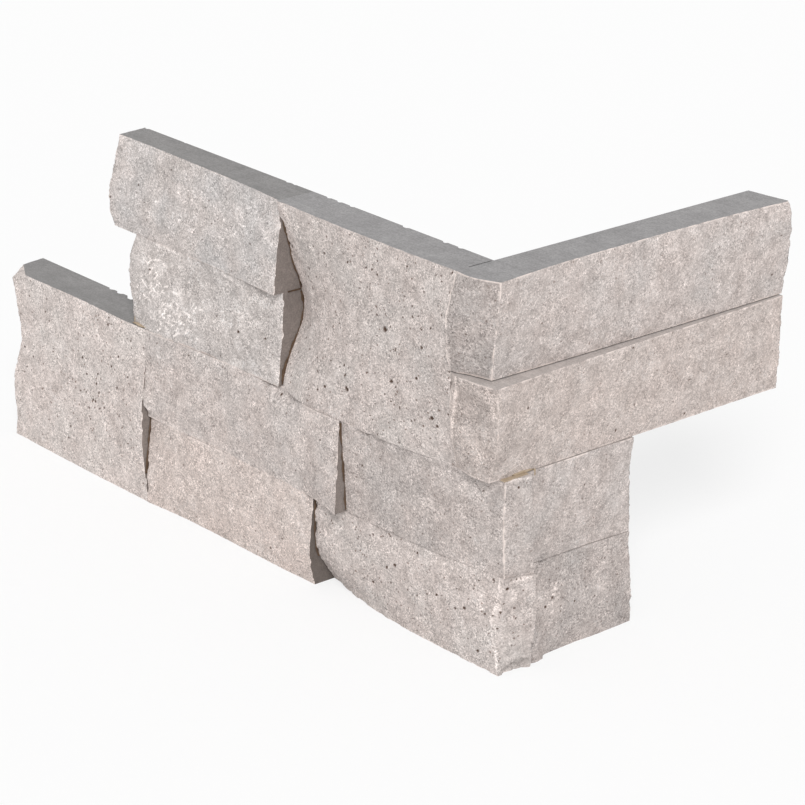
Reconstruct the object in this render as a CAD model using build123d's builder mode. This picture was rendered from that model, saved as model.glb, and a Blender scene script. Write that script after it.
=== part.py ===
from build123d import *

import os

# Corner piece of split-face stone cladding: two stacked legs of natural stone strips that meet
# at a right angle. Millimetres, +Z up. The origin is where the two sawn backs meet, on the base.
# The long leg runs along -X with its split face towards -Y, the short leg along +Y with its
# split face towards +X.

# Courses
course_height = 38.1
bed_joint = 0.4
head_joint = 0.4

# Depth of the strips, from the sawn back to the mean split face
long_depth = 17.0
short_depth = 20.0

# Reach of each course, measured from the outer corner
long_reach_low = 302.0
long_reach_third = 215.0
long_reach_top = 229.0
short_reach_low = 73.0
short_reach_high = 154.0

# Lengths of the single strips
tall_end_length = 97.0
tall_middle_length = 101.5
through_length_base = 99.0
through_length_second = 80.0

# Adhesive, kept back from the split faces and the backs
face_setback = 5.0
back_setback = 1.0
thin_film_depth = 4.0
ledge_film_reach = 2.0

# Chip off the upper left corner of the tall end strip: along the face, into the depth, downwards
end_chip_along = 10.0
end_chip_back = 6.0
end_chip_down = 4.0

# Spare stone round a strip before it is split, how far a split runs past it, and how closely it
# keeps to its net of points
spare = 9.0
overrun = 6.0
split_tolerance = 0.05

corner_x = short_depth
base_left_x = corner_x - long_reach_low
third_left_x = corner_x - long_reach_third
top_left_x = corner_x - long_reach_top
tall_end_joint_x = base_left_x + tall_end_length
tall_middle_joint_x = -head_joint - tall_middle_length
base_joint_x = corner_x - through_length_base
second_joint_x = corner_x - through_length_second
low_end_y = short_reach_low - long_depth
high_end_y = short_reach_high - long_depth
total_height = 4 * course_height


def course_span(first, last):
    """Bottom and top of a strip that fills the courses first to last."""
    low = (first - 1) * course_height + (bed_joint / 2 if first > 1 else 0)
    high = last * course_height - (bed_joint / 2 if last < 4 else 0)
    return low, high


def stations(start, end, count):
    """Evenly spaced stations between two limits, with one more beyond each limit."""
    run = spare + overrun
    inner = [start + (end - start) * i / (count - 1) for i in range(count)]
    return [start - run] + inner + [end + run]


def held(values):
    """A row of values with its first and last ones repeated for the stations beyond."""
    return [values[0]] + list(values) + [values[-1]]


def split_sheet(point, across, low, high, rows):
    """Rough sheet through a net of points: rows from the bottom up, each with one value a station."""
    levels = stations(low, high, len(rows))
    shares = [held(row) for row in held(rows)]
    net = [
        [Vector(*point(station, level, shares[j][i])) for j, level in enumerate(levels)]
        for i, station in enumerate(across)
    ]
    return Face.make_surface_from_array_of_points(net, tol=split_tolerance, min_deg=1, max_deg=3)


def long_face(left, right, span, rows):
    """Split surface towards -Y; rows run left to right in shares of the long leg's depth."""
    across = stations(left, right, len(rows[0]))
    return split_sheet(lambda s, z, share: (s, -long_depth * share, z), across, *span, rows)


def short_face(near, far, span, rows):
    """Split surface towards +X; rows run away from the corner in shares of the short depth."""
    across = stations(near, far, len(rows[0]))
    return split_sheet(lambda s, z, share: (short_depth * share, s, z), across, *span, rows)


def left_end(x, span, rows):
    """Broken end towards -X; rows run front to back and say how far each point stands out."""
    across = stations(-long_depth, 0, len(rows[0]))
    return split_sheet(lambda s, z, out: (x - out, s, z), across, *span, rows)


def far_end(y, span, rows):
    """Broken end towards +Y; rows run front to back and say how far each point stands out."""
    across = stations(0, short_depth, len(rows[0]))
    return split_sheet(lambda s, z, out: (short_depth - s, y + out, z), across, *span, rows)


def chip_plane(corner, cuts):
    """Plane that takes a chip off a corner; the cuts are lengths along the axes, signed inwards."""
    start = (corner[0] + cuts[0], corner[1], corner[2])
    return Plane(origin=start, z_dir=tuple(-1 / cut for cut in cuts))


def strip_outline(left, right, near, far):
    """Plan outline of a sawn strip in the sketch that is open."""
    with Locations((left, near)):
        Rectangle(right - left, far - near, align=Align.MIN)


# Long leg, base and second course: the tall strip at the left end
span = course_span(1, 2)
with BuildPart() as long_tall_end:
    with BuildSketch(Plane.XY.offset(span[0])):
        strip_outline(base_left_x - spare, tall_end_joint_x - head_joint / 2, -long_depth - spare, 0)
    extrude(amount=span[1] - span[0])
    split(
        bisect_by=long_face(base_left_x, tall_end_joint_x, span, [
            [1.04, 1.06, 1.08, 1.08, 1.07],
            [1.06, 1.12, 1.11, 1.14, 1.19],
            [1.03, 1.09, 1.14, 1.14, 1.24],
            [1.03, 1.07, 1.11, 1.13, 1.13],
            [1.06, 1.10, 1.07, 1.11, 1.10],
        ]),
        keep=Keep.BOTTOM,
    )
    split(
        bisect_by=left_end(base_left_x, span, [
            [-1.2, 0.0],
            [-2.6, 0.0],
            [-1.2, 0.5],
            [-4.8, 0.3],
            [-6.4, 0.5],
            [-3.8, 1.0],
            [-2.0, 1.0],
        ]),
        keep=Keep.TOP,
    )
    split(
        bisect_by=chip_plane(
            (base_left_x, -long_depth, span[1]), (end_chip_along, end_chip_back, -end_chip_down)
        ),
        keep=Keep.BOTTOM,
    )

# Long leg, second course: the strip in the middle
span = course_span(2, 2)
with BuildPart() as long_second_middle:
    with BuildSketch(Plane.XY.offset(span[0])):
        strip_outline(
            tall_end_joint_x + head_joint / 2, second_joint_x - head_joint / 2,
            -long_depth - spare, 0,
        )
    extrude(amount=span[1] - span[0])
    split(
        bisect_by=long_face(tall_end_joint_x, second_joint_x, span, [
            [1.03, 1.04, 1.00, 1.04, 1.08, 1.33],
            [1.11, 1.06, 1.04, 1.10, 1.18, 1.30],
            [1.14, 1.08, 1.02, 1.08, 1.22, 1.26],
            [1.10, 1.07, 0.97, 1.00, 1.20, 1.23],
        ]),
        keep=Keep.BOTTOM,
    )

# Long leg, second course: the strip that runs through to the corner
with BuildPart() as long_second_through:
    with BuildSketch(Plane.XY.offset(span[0])):
        strip_outline(second_joint_x + head_joint / 2, corner_x + spare, -long_depth - spare, 0)
    extrude(amount=span[1] - span[0])
    split(
        bisect_by=long_face(second_joint_x, corner_x, span, [
            [1.00, 1.00, 0.96, 0.88, 0.72],
            [1.07, 1.02, 1.00, 0.92, 0.74],
            [1.14, 1.06, 1.02, 0.92, 0.72],
            [1.20, 1.12, 1.04, 0.88, 0.66],
        ]),
        keep=Keep.BOTTOM,
    )
    split(
        bisect_by=short_face(-long_depth, 0, span, [
            [1.14, 1.21, 1.34],
            [1.13, 1.18, 1.28],
            [1.10, 1.15, 1.24],
            [1.04, 1.10, 1.19],
        ]),
        keep=Keep.BOTTOM,
    )

# Long leg, base course: the strip in the middle
span = course_span(1, 1)
with BuildPart() as long_base_middle:
    with BuildSketch(Plane.XY.offset(span[0])):
        strip_outline(
            tall_end_joint_x + head_joint / 2, base_joint_x - head_joint / 2,
            -long_depth - spare, 0,
        )
    extrude(amount=span[1] - span[0])
    split(
        bisect_by=long_face(tall_end_joint_x, base_joint_x, span, [
            [1.08, 0.98, 0.97, 0.98, 0.95],
            [1.09, 1.07, 1.05, 1.06, 1.11],
            [1.02, 1.07, 1.06, 1.08, 1.07],
            [0.95, 1.05, 1.01, 1.05, 1.04],
        ]),
        keep=Keep.BOTTOM,
    )

# Long leg, base course: the strip that runs through to the corner, broken away at its lower left
with BuildPart() as long_base_through:
    with BuildSketch(Plane.XY.offset(span[0])):
        strip_outline(base_joint_x + head_joint / 2, corner_x + spare, -long_depth - spare, 0)
    extrude(amount=span[1] - span[0])
    split(
        bisect_by=long_face(base_joint_x, corner_x, span, [
            [0.38, 0.65, 0.83, 0.88, 0.89, 0.87],
            [0.87, 0.94, 0.96, 0.96, 0.93, 0.81],
            [0.99, 0.99, 1.00, 1.00, 0.93, 0.75],
            [0.96, 0.97, 0.96, 0.93, 0.85, 0.72],
        ]),
        keep=Keep.BOTTOM,
    )
    split(
        bisect_by=short_face(-long_depth, 0, span, [
            [1.24, 1.34],
            [1.11, 1.38],
            [0.99, 1.42],
            [1.08, 1.42],
            [1.16, 1.37],
        ]),
        keep=Keep.BOTTOM,
    )

# Long leg, third course: the strip at the left end
span = course_span(3, 3)
with BuildPart() as long_third_end:
    with BuildSketch(Plane.XY.offset(span[0])):
        strip_outline(
            third_left_x - spare, tall_middle_joint_x - head_joint / 2, -long_depth - spare, 0
        )
    extrude(amount=span[1] - span[0])
    split(
        bisect_by=long_face(third_left_x, tall_middle_joint_x, span, [
            [1.00, 1.09, 0.98, 0.97, 0.97],
            [1.00, 1.05, 1.00, 1.02, 0.90],
            [0.98, 1.00, 0.98, 0.98, 0.85],
            [0.98, 0.97, 0.97, 1.00, 0.84],
        ]),
        keep=Keep.BOTTOM,
    )
    split(
        bisect_by=left_end(third_left_x, span, [
            [-1.2, 0.5],
            [1.6, 0.5],
            [3.0, 0.3],
            [-2.0, 0.0],
        ]),
        keep=Keep.TOP,
    )

# Long leg, top course: the strip at the left end
span = course_span(4, 4)
with BuildPart() as long_top_end:
    with BuildSketch(Plane.XY.offset(span[0])):
        strip_outline(
            top_left_x - spare, tall_middle_joint_x - head_joint / 2, -long_depth - spare, 0
        )
    extrude(amount=span[1] - span[0])
    split(
        bisect_by=long_face(top_left_x, tall_middle_joint_x, span, [
            [0.98, 0.97, 0.98, 1.03, 1.12],
            [1.02, 1.02, 1.02, 1.03, 1.05],
            [0.94, 0.94, 0.96, 0.98, 0.96],
            [0.82, 0.81, 0.85, 0.90, 1.02],
        ]),
        keep=Keep.BOTTOM,
    )
    split(
        bisect_by=left_end(top_left_x, span, [
            [-1.2, 0.5],
            [1.2, 1.0],
            [-0.4, 0.5],
            [-2.0, -0.7],
        ]),
        keep=Keep.TOP,
    )

# Long leg, third and top course: the tall strip beside the corner, deeply dished at its left edge
span = course_span(3, 4)
with BuildPart() as long_tall_middle:
    with BuildSketch(Plane.XY.offset(span[0])):
        strip_outline(tall_middle_joint_x + head_joint / 2, -head_joint, -long_depth - spare, 0)
    extrude(amount=span[1] - span[0])
    split(
        bisect_by=long_face(tall_middle_joint_x, 0, span, [
            [0.84, 1.19, 1.21, 1.21, 1.14, 0.93],
            [0.54, 0.99, 1.12, 1.16, 1.14, 1.05],
            [0.25, 0.81, 1.06, 1.13, 1.17, 1.15],
            [0.47, 0.85, 1.05, 1.13, 1.18, 1.26],
            [0.76, 0.98, 1.08, 1.13, 1.17, 1.27],
            [1.04, 1.10, 1.13, 1.13, 1.12, 1.08],
        ]),
        keep=Keep.BOTTOM,
    )

# Short leg, top course: one strip, whose split end shows beside the corner on the long leg
span = course_span(4, 4)
with BuildPart() as short_top:
    with BuildSketch(Plane.XY.offset(span[0])):
        strip_outline(0, short_depth + spare, -long_depth - spare, high_end_y + spare)
    extrude(amount=span[1] - span[0])
    split(
        bisect_by=short_face(-long_depth, high_end_y, span, [
            [0.83, 0.85, 0.86, 0.87, 0.88],
            [0.95, 0.91, 0.93, 0.92, 0.95],
            [0.98, 0.85, 0.83, 0.84, 0.94],
        ]),
        keep=Keep.BOTTOM,
    )
    split(
        bisect_by=long_face(0, short_depth, span, [
            [1.14, 0.97, 0.84],
            [1.33, 1.10, 0.90],
            [1.31, 1.12, 0.90],
            [1.08, 1.09, 0.83],
        ]),
        keep=Keep.BOTTOM,
    )
    split(
        bisect_by=far_end(high_end_y, span, [
            [0.2, -2.0],
            [1.4, -2.2],
            [-0.6, -3.4],
        ]),
        keep=Keep.BOTTOM,
    )

# Short leg, third course: one strip that stands a little proud of the one above it
span = course_span(3, 3)
with BuildPart() as short_third:
    with BuildSketch(Plane.XY.offset(span[0])):
        strip_outline(0, short_depth + spare, -long_depth - spare, high_end_y + spare)
    extrude(amount=span[1] - span[0])
    split(
        bisect_by=short_face(-long_depth, high_end_y, span, [
            [0.98, 1.00, 0.99, 0.99, 0.97, 0.97],
            [1.08, 1.04, 1.02, 1.02, 0.99, 0.98],
            [1.14, 1.09, 1.05, 1.03, 0.99, 0.96],
            [1.18, 1.11, 1.06, 1.02, 0.98, 0.94],
        ]),
        keep=Keep.BOTTOM,
    )
    split(
        bisect_by=long_face(0, short_depth, span, [
            [0.92, 1.06, 1.02],
            [1.10, 1.05, 0.96],
            [1.15, 1.10, 1.00],
            [1.12, 1.22, 1.15],
        ]),
        keep=Keep.BOTTOM,
    )
    split(
        bisect_by=far_end(high_end_y, span, [
            [-1.8, -2.0],
            [-1.2, -1.8],
            [-0.7, -2.0],
        ]),
        keep=Keep.BOTTOM,
    )

# Short leg, second course: the short strip that butts against the back of the through strip
span = course_span(2, 2)
with BuildPart() as short_second:
    with BuildSketch(Plane.XY.offset(span[0])):
        strip_outline(0, short_depth + spare, head_joint, low_end_y + spare)
    extrude(amount=span[1] - span[0])
    split(
        bisect_by=short_face(0, low_end_y, span, [
            [0.99, 0.99, 1.01, 1.07],
            [1.04, 1.05, 1.06, 1.08],
            [1.05, 1.06, 1.06, 1.06],
            [1.03, 1.02, 1.01, 1.04],
        ]),
        keep=Keep.BOTTOM,
    )
    split(
        bisect_by=far_end(low_end_y, span, [
            [-1.2, -0.5],
            [-1.8, -0.5],
            [-2.0, -0.5],
            [-0.4, -0.5],
        ]),
        keep=Keep.BOTTOM,
    )

# Short leg, base course: the short strip that butts against the back of the through strip
span = course_span(1, 1)
with BuildPart() as short_base:
    with BuildSketch(Plane.XY.offset(span[0])):
        strip_outline(0, short_depth + spare, head_joint, low_end_y + spare)
    extrude(amount=span[1] - span[0])
    split(
        bisect_by=short_face(0, low_end_y, span, [
            [1.18, 1.10, 1.11, 1.09],
            [1.14, 1.12, 1.13, 1.12],
            [1.05, 1.06, 1.08, 1.10],
            [1.00, 1.01, 1.03, 1.08],
        ]),
        keep=Keep.BOTTOM,
    )
    split(
        bisect_by=far_end(low_end_y, span, [
            [1.0, 0.5],
            [0.0, 0.0],
            [-0.8, -0.5],
            [-1.2, -0.5],
        ]),
        keep=Keep.BOTTOM,
    )


def film(left, right, near, far, low, high):
    """Flat layer of adhesive in the part that is open."""
    with BuildSketch(Plane.XY.offset(low)) as layer:
        strip_outline(left, right, near, far)
    extrude(layer.sketch, amount=high - low)


# Adhesive: the bed layers between the courses and the upright layers between the strip ends
film_front_y = face_setback - long_depth
film_front_x = short_depth - face_setback
half_head = head_joint / 2
with BuildPart() as adhesive:
    for level, left, far in (
        (1, tall_end_joint_x - half_head, low_end_y),
        (2, third_left_x + face_setback, low_end_y),
        (3, 0, high_end_y),
    ):
        low = level * course_height - bed_joint / 2
        high = low + bed_joint
        film(left, film_front_x, film_front_y, -back_setback, low, high)
        film(back_setback, film_front_x, film_front_y, far - face_setback, low, high)
    film(
        third_left_x + face_setback, tall_middle_joint_x + half_head, film_front_y, -back_setback,
        3 * course_height - bed_joint / 2, 3 * course_height + bed_joint / 2,
    )
    second_top = 2 * course_height - bed_joint / 2
    third_base = 2 * course_height + bed_joint / 2
    film(
        corner_x - face_setback, corner_x + ledge_film_reach, film_front_y, 0,
        second_top, third_base,
    )
    film(
        tall_end_joint_x - half_head, tall_end_joint_x + half_head, film_front_y, -back_setback,
        back_setback, second_top,
    )
    film(
        second_joint_x - half_head, second_joint_x + half_head, film_front_y, -back_setback,
        course_height, second_top,
    )
    film(
        base_joint_x - half_head, base_joint_x + half_head, -thin_film_depth, -back_setback,
        back_setback, course_height,
    )
    film(
        tall_middle_joint_x - half_head, tall_middle_joint_x + half_head,
        -thin_film_depth, -back_setback, third_base, total_height - back_setback,
    )
    film(-head_joint, 0, film_front_y, -back_setback, third_base, total_height)
    film(back_setback, film_front_x, 0, head_joint, back_setback, second_top)

pieces = {
    "long_tall_end": long_tall_end,
    "long_second_middle": long_second_middle,
    "long_second_through": long_second_through,
    "long_base_middle": long_base_middle,
    "long_base_through": long_base_through,
    "long_third_end": long_third_end,
    "long_top_end": long_top_end,
    "long_tall_middle": long_tall_middle,
    "short_top": short_top,
    "short_third": short_third,
    "short_second": short_second,
    "short_base": short_base,
    "adhesive": adhesive,
}
os.makedirs("parts", exist_ok=True)
for label, piece in pieces.items():
    piece.part.label = label
    export_step(piece.part, "parts/" + label + ".step")
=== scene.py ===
import itertools
import math

import bpy
import numpy as np
from mathutils import Matrix, Vector


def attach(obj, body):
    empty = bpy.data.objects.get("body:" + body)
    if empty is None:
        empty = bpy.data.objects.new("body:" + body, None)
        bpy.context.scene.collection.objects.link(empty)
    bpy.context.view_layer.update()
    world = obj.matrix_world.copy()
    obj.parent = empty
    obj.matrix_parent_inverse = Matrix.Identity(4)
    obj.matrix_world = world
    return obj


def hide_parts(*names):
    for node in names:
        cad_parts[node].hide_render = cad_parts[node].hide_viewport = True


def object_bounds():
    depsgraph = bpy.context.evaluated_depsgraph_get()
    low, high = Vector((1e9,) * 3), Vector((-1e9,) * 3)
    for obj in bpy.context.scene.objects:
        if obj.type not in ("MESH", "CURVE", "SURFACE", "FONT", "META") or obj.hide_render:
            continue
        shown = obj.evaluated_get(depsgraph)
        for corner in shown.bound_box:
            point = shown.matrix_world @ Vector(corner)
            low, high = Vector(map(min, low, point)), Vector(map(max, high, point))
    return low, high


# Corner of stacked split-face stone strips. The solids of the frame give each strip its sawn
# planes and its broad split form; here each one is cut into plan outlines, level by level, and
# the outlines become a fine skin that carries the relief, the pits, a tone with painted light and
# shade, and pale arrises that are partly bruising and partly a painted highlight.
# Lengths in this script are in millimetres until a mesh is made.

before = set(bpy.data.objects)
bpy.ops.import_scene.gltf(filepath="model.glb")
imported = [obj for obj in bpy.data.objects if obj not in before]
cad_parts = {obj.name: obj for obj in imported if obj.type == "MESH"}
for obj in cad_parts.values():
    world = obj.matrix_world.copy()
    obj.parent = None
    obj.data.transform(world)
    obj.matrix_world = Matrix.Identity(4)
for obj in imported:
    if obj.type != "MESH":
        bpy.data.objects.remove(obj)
cad_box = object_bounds()
scene = bpy.context.scene
MM = 0.001

# Size of a cell of the skin on split, sawn and chipped sides
cell = 0.45
sawn_cell = 4.0
nicked_cell = 0.9
# Points of a solid that are closer than this are one
weld = 0.001
# The lowest and highest outlines of a solid are cut this far inside it
cap_nudge = 0.01
# How far bed and head faces are moved over the adhesive
bed_closing = 0.19
head_closing = 0.38
stack_top = cad_box[1][2] / MM

SOUTH, EAST, NORTH, WEST = range(4)
outward = {SOUTH: (0, -1), EAST: (1, 0), NORTH: (0, 1), WEST: (-1, 0)}
corner_ways = ((-1, -1), (1, -1), (1, 1), (-1, 1))


# Plan outlines of a solid

def welded(node):
    """Points, in millimetres, and triangles of a node, with coincident points joined."""
    mesh = node.data
    points = np.empty(len(mesh.vertices) * 3)
    mesh.vertices.foreach_get("co", points)
    points = points.reshape(-1, 3) / MM
    mesh.calc_loop_triangles()
    triangles = np.empty(len(mesh.loop_triangles) * 3, dtype=np.int32)
    mesh.loop_triangles.foreach_get("vertices", triangles)
    keys = np.round(points / weld).astype(np.int64)
    _, first, inverse = np.unique(keys, axis=0, return_index=True, return_inverse=True)
    return points[first], inverse.ravel()[triangles].reshape(-1, 3)


def outline(points, triangles, level):
    """The longest closed plan outline at a level, anticlockwise from above."""
    above = points[:, 2] > level
    count = above[triangles].sum(axis=1)
    links = {}
    for tri in triangles[(count > 0) & (count < 3)].tolist():
        ends = []
        for i, j in ((tri[0], tri[1]), (tri[1], tri[2]), (tri[2], tri[0])):
            if above[i] != above[j]:
                ends.append((min(i, j), max(i, j)))
        links.setdefault(ends[0], []).append(ends[1])
        links.setdefault(ends[1], []).append(ends[0])
    best, best_length = None, 0.0
    while links:
        here = next(iter(links))
        chain = []
        while here in links:
            chain.append(here)
            onward = [key for key in links.pop(here) if key in links]
            here = onward[0] if onward else None
        low = points[[key[0] for key in chain]]
        high = points[[key[1] for key in chain]]
        share = (level - low[:, 2]) / (high[:, 2] - low[:, 2])
        ring = (low + (high - low) * share[:, None])[:, :2]
        length = np.linalg.norm(ring - np.roll(ring, 1, axis=0), axis=1).sum()
        if length > best_length:
            best, best_length = ring, length
    x, y = best[:, 0], best[:, 1]
    if (x * np.roll(y, -1) - y * np.roll(x, -1)).sum() < 0:
        best = best[::-1]
    return best


def resampled(run, count):
    """An open run of plan points, at count evenly spaced places, without the last."""
    step = np.linalg.norm(np.diff(run, axis=0), axis=1)
    along = np.concatenate([[0.0], np.cumsum(step)])
    places = np.linspace(0.0, along[-1], count + 1)[:-1]
    return np.stack([np.interp(places, along, run[:, k]) for k in (0, 1)], axis=1)


def sides_of(ring):
    """The four runs of an outline: south, east, north, west."""
    at = [int(np.argmax(ring @ np.array(way))) for way in corner_ways]
    runs = []
    for k in range(4):
        start, end = at[k], at[(k + 1) % 4]
        if end <= start:
            end += len(ring)
        runs.append(ring[np.arange(start, end + 1) % len(ring)])
    return runs


# Noise, the same in each run

# Factors that scatter the whole-numbered cells over a table of random values
lattice_size = 1 << 16
lattice = np.random.default_rng(7).uniform(-1.0, 1.0, lattice_size)
lattice_steps = np.array((73856093, 19349663, 83492791))
seed_step = 7919
scatter = 668265263
block = list(itertools.product((0, 1), repeat=3))
neighbours = list(itertools.product((-1, 0, 1), repeat=3))


def smooth(value):
    """A soft step from 0 to 1."""
    value = np.clip(value, 0.0, 1.0)
    return value * value * (3 - 2 * value)


def lattice_value(cells, seed):
    """The fixed random value of each whole-numbered cell."""
    key = (cells * lattice_steps).sum(axis=1) + seed * seed_step
    key = (key ^ (key >> 15)) * scatter
    return lattice[(key ^ (key >> 13)) & (lattice_size - 1)]


def wave(places, size, seed):
    """Smooth noise of one wavelength."""
    scaled = places / size + 0.37 * seed
    low = np.floor(scaled)
    part = smooth(scaled - low)
    low = low.astype(np.int64)
    total = np.zeros(len(places))
    for corner in block:
        weight = np.prod(np.where(corner, part, 1 - part), axis=1)
        total += weight * lattice_value(low + np.array(corner), seed)
    return total


def fractal(places, size, octaves, seed, gain=0.55):
    """Smooth noise that adds ever shorter waves."""
    total = np.zeros(len(places))
    for octave in range(octaves):
        total += gain ** octave * wave(places, size / 2 ** octave, seed + 31 * octave)
    return total


def breaks(places, size, seed):
    """Small tilted flat breaks with ragged borders."""
    raggedness, shift, step_height, tilt_height = 0.22, 0.45, 0.6, 0.9
    bend = np.stack([fractal(places, size * 0.5, 2, seed + k) for k in (61, 62, 63)], axis=1)
    scaled = places / size + raggedness * bend
    low = np.floor(scaled).astype(np.int64)
    nearest = np.full(len(places), 9.0)
    height = np.zeros(len(places))
    for step in neighbours:
        home = low + np.array(step)
        jitter = np.stack([lattice_value(home, seed + k) for k in (1, 2, 3)], axis=1)
        tilt = np.stack([lattice_value(home, seed + k) for k in (5, 6, 7)], axis=1)
        way = scaled - (home + 0.5 + shift * jitter)
        apart = (way ** 2).sum(axis=1)
        here = step_height * lattice_value(home, seed + 4) + tilt_height * (way * tilt).sum(axis=1)
        height = np.where(apart < nearest, here, height)
        nearest = np.minimum(apart, nearest)
    return height


def from_line(along, level, points):
    """How far each place is from a line drawn on a side."""
    spots = np.stack([along, level], axis=1)
    best = np.full(len(spots), 1e9)
    for start, end in zip(points, points[1:]):
        start, end = np.array(start, float), np.array(end, float)
        way = end - start
        share = np.clip((spots - start) @ way / (way @ way), 0.0, 1.0)
        best = np.minimum(best, np.linalg.norm(spots - start - share[:, None] * way, axis=1))
    return best


# Skin of a strip

# Contrast of the grain, which the photo shows weaker on the short leg
side_contrast = {SOUTH: 1.0, EAST: 0.8, NORTH: 1.0, WEST: 1.0}

# How pale the arrises of a strip are, from none to full: partly bruising, partly a painted highlight
plain_edges = {"left": 0.25, "corner": 0.9, "far": 0.1, "top": 0.5, "bottom": 0.3}

# Relief of a split face: height and size of its forms
crumb_height, crumb_size = 0.06, 1.3
flake_height, flake_size = 0.04, 1.7
swell_height, swell_size = 0.20, 11.0
break_height, break_size = 0.16, 5.5

# Arrises: how deep and how far in they wear and chip, and how far their pale bruising and painted
# highlight reach
worn_depth, worn_reach = 0.07, 0.3
chip_depth, chip_reach = 0.55, 0.9
bruise_and_highlight_reach = 0.45

# Sizes of the noise that breaks up the arrises and places the chips, and where chips set in
edge_noise_size = 2.2
chip_size, chip_start, chip_rise = 3.6, 0.15, 0.5

# How far from a bed arris the relief and the chips are held back
calm_reach, chip_calm_reach = 1.6, 2.0

# Depth of a chip off the top back edge, for its size
nick_depth = 0.8

# Small pits that are spread at random: range of their radius and of their strength
pit_radii = (0.27, 0.5)
pit_strengths = (0.4, 1.0)

# All pits: depth for their radius, ragged rim, and the dark halo around them
pit_depth = 0.7
rim_swing, rim_size = 0.9, 0.9
halo_strength, halo_reach = 0.2, 4

# Tone: how much painted light on raised crumbs lightens it and painted shade in hollows darkens it, and
# its drift along the face
crumb_painted_shading, crumb_limit = 0.6, 0.12
drift, drift_size = 0.06, 7.0

# Flecks, short pale strokes: greatest length and width, how far they stand out, and the ranges
# of their turn, their share of the length and their paleness
fleck_length, fleck_width = 3.0, 0.3
fleck_rise = 0.06
fleck_turns = (-0.6, 1.2)
fleck_reaches = (0.3, 1.0)
fleck_tones = (0.25, 0.6)


def sliced(label, rough, nicked):
    """Levels of a strip, the number of columns on each side, and the grid of its outlines."""
    points, triangles = welded(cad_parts[label])
    low, high = points[:, 2].min(), points[:, 2].max()
    levels = np.linspace(low, high, int(round((high - low) / cell)) + 1)
    cuts = np.clip(levels, low + cap_nudge, high - cap_nudge)
    outlines = [sides_of(outline(points, triangles, level)) for level in cuts]
    counts = []
    for side in range(4):
        longest = max(np.linalg.norm(np.diff(o[side], axis=0), axis=1).sum() for o in outlines)
        step = cell if side in rough else nicked_cell if nicked and side == NORTH else sawn_cell
        counts.append(max(3, int(round(longest / step))))
    grid = np.empty((len(levels), sum(counts), 3))
    for row, (runs, level) in enumerate(zip(outlines, levels)):
        grid[row, :, :2] = np.vstack([resampled(run, count) for run, count in zip(runs, counts)])
        grid[row, :, 2] = level
    return levels, counts, grid


def close_joints(grid, levels, side_columns, rough, closed_from, open_beds):
    """Move the bed faces and the sawn heads over the adhesive, nearly to the next strip."""
    if levels[0] > bed_closing and "bottom" not in open_beds:
        grid[0, :, 2] -= bed_closing
    if levels[-1] < stack_top - bed_closing and "top" not in open_beds:
        grid[-1, :, 2] += bed_closing
    closing = head_closing * smooth(levels - closed_from)
    for side in (SOUTH, EAST):
        if side not in rough:
            grid[:, side_columns[side], :2] += closing[:, None, None] * np.array(outward[side])


def edge_names(side, rough):
    """Names of the upright edges where a side starts and ends, seen from outside."""
    if side == SOUTH:
        return "left", "corner" if EAST in rough else "far"
    if side == EAST:
        return "corner" if SOUTH in rough else "left", "far"
    return "far", "far"


def to_edges(base, cols, levels, edge_strengths):
    """For each edge of a side, how far every place is from it, and how pale it is."""
    steps = np.linalg.norm(np.diff(base[:, cols, :2], axis=1), axis=2)
    from_start = np.concatenate([np.zeros((len(levels), 1)), np.cumsum(steps, axis=1)], axis=1)
    below = np.repeat((levels - levels[0])[:, None], len(cols), axis=1)
    above = levels[-1] - levels[0] - below
    away = (from_start, from_start[:, -1:] - from_start, above, below)
    return [(apart.ravel(), strength) for apart, strength in zip(away, edge_strengths)]


def pit_marks(side, pits, count, along, levels, random):
    """Pits of a side, as (along, level, radius, strength): those given, then random ones."""
    marks = [(u, z, radius, 1.0) for place_side, u, z, radius in pits if place_side == side]
    for _ in range(count):
        marks.append((
            random.uniform(along.min(), along.max()),
            random.uniform(levels[0] + 1, levels[-1] - 1),
            random.uniform(*pit_radii), random.uniform(*pit_strengths),
        ))
    return marks


def drawn_strokes(side, strokes, flecks, fleck_strength, random):
    """Strokes of a side, as (line, half width, tone, outwards): those given, then its flecks."""
    drawn = [stroke[1:] for stroke in strokes if stroke[0] == side]
    for place_side, u, z, half_wide, half_high, count in flecks:
        if place_side == side:
            for _ in range(count):
                start = (u + half_wide * random.normal() / 2, z + half_high * random.normal() / 2)
                turn = random.uniform(*fleck_turns)
                reach = fleck_length * random.uniform(*fleck_reaches)
                end = (start[0] + reach * math.cos(turn), start[1] + reach * math.sin(turn))
                fleck_tone = 1 + fleck_strength * random.uniform(*fleck_tones)
                drawn.append(([start, end], fleck_strength * fleck_width, fleck_tone, fleck_rise))
    return drawn


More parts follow.
